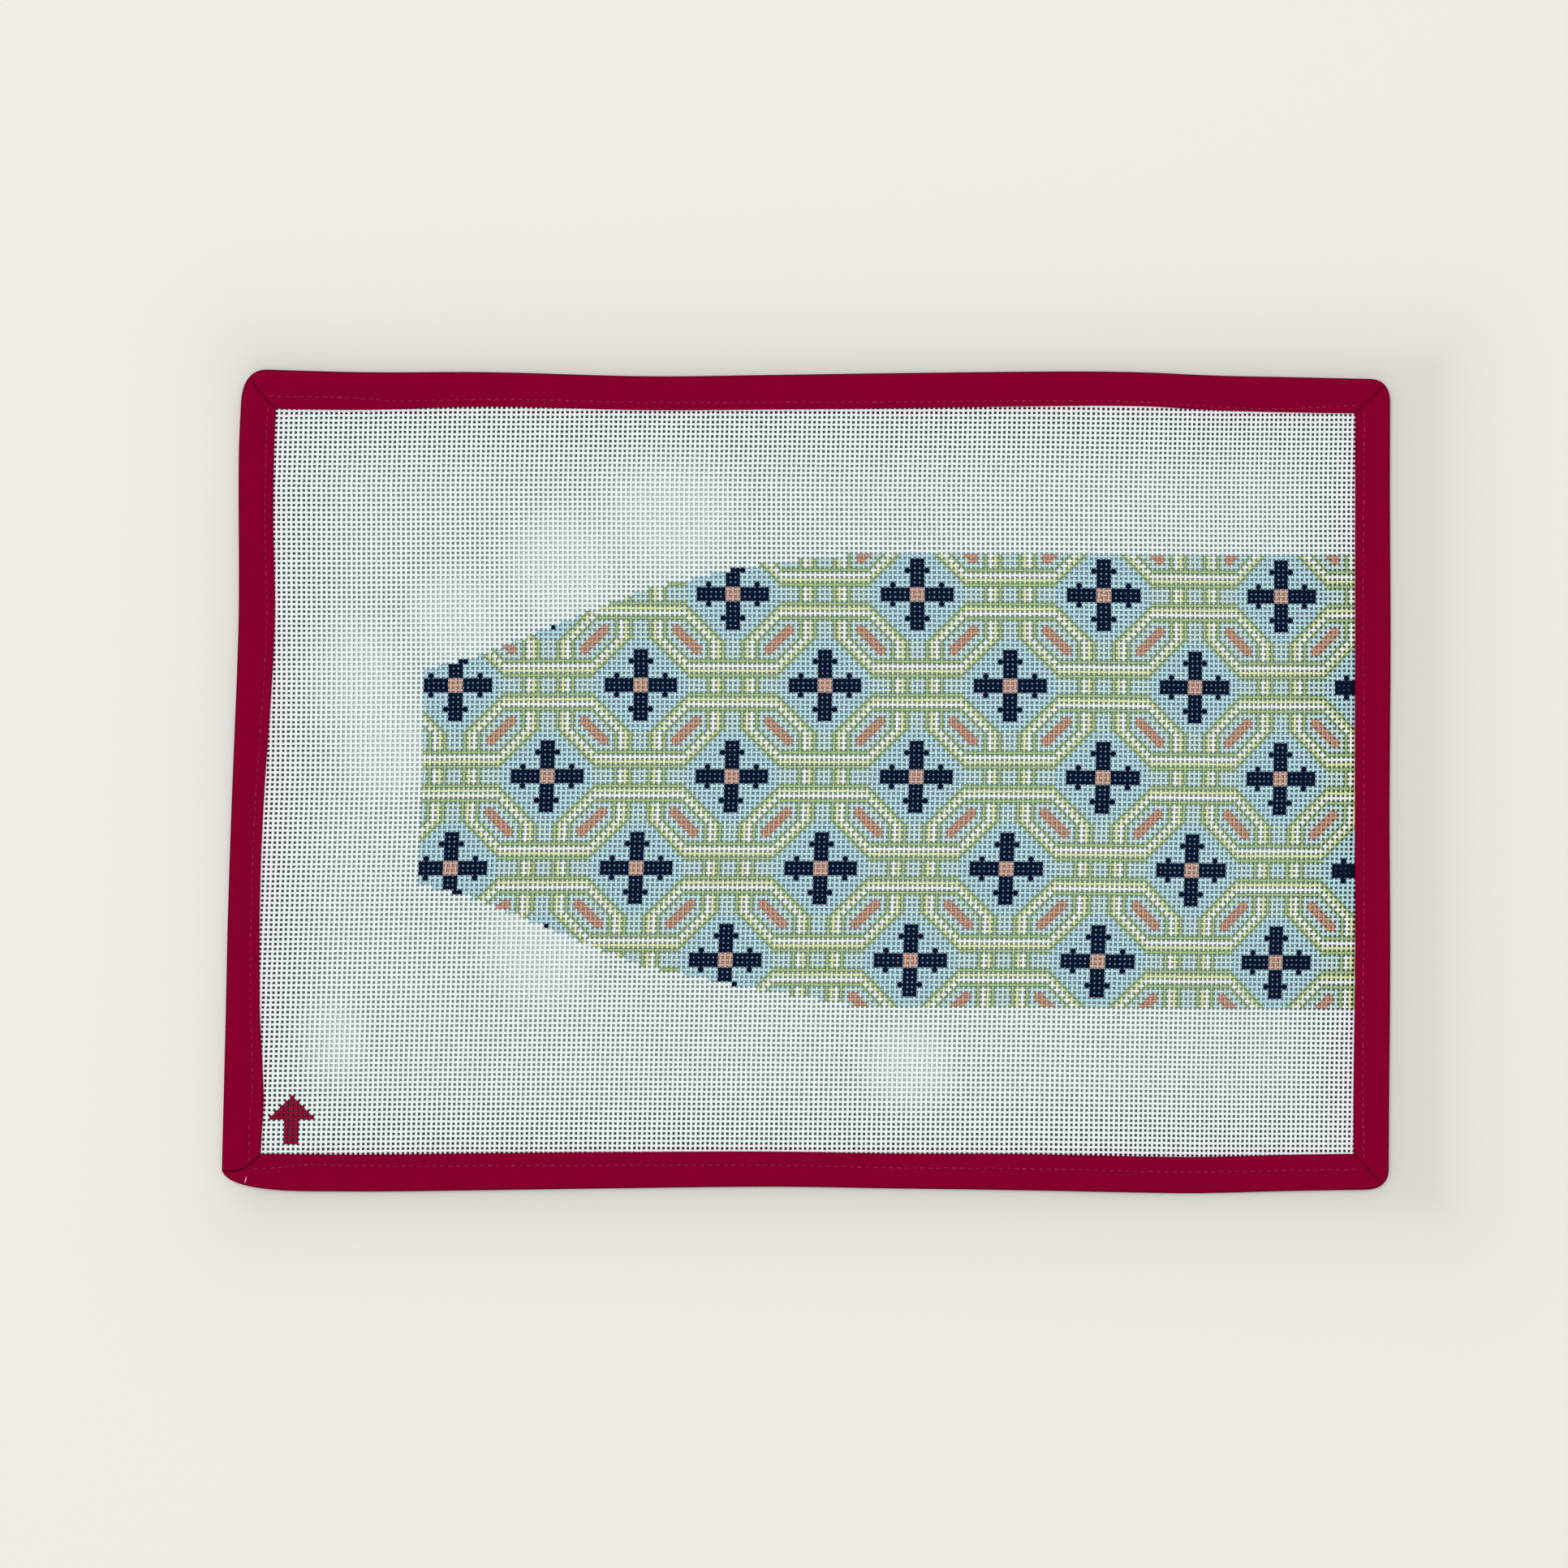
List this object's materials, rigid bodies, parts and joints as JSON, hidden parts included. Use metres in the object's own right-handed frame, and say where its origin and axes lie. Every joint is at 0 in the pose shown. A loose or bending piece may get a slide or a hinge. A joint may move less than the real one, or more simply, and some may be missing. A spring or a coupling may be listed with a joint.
{
  "type": "needlepoint canvas panel",
  "caption": "Flat painted mono canvas with an even open mesh, its edges bound in folded and mitred cotton tape, ready to be stitched.",
  "frame": {"origin": "centre of the panel's underside, on the surface it lies on", "axes": "+X along the panel's length, +Y towards its upper edge, +Z out of the painted face"},
  "size_m": [0.3421, 0.241, 0.0032],
  "materials": {
    "canvas": "starched open cotton weave, matte",
    "binding": "plain woven cotton tape, matte"
  },
  "bodies": {
    "root": {"canvas": "canvas", "binding_upper": "binding", "binding_lower": "binding", "binding_left": "binding", "binding_right": "binding"}
  },
  "joints": []
}
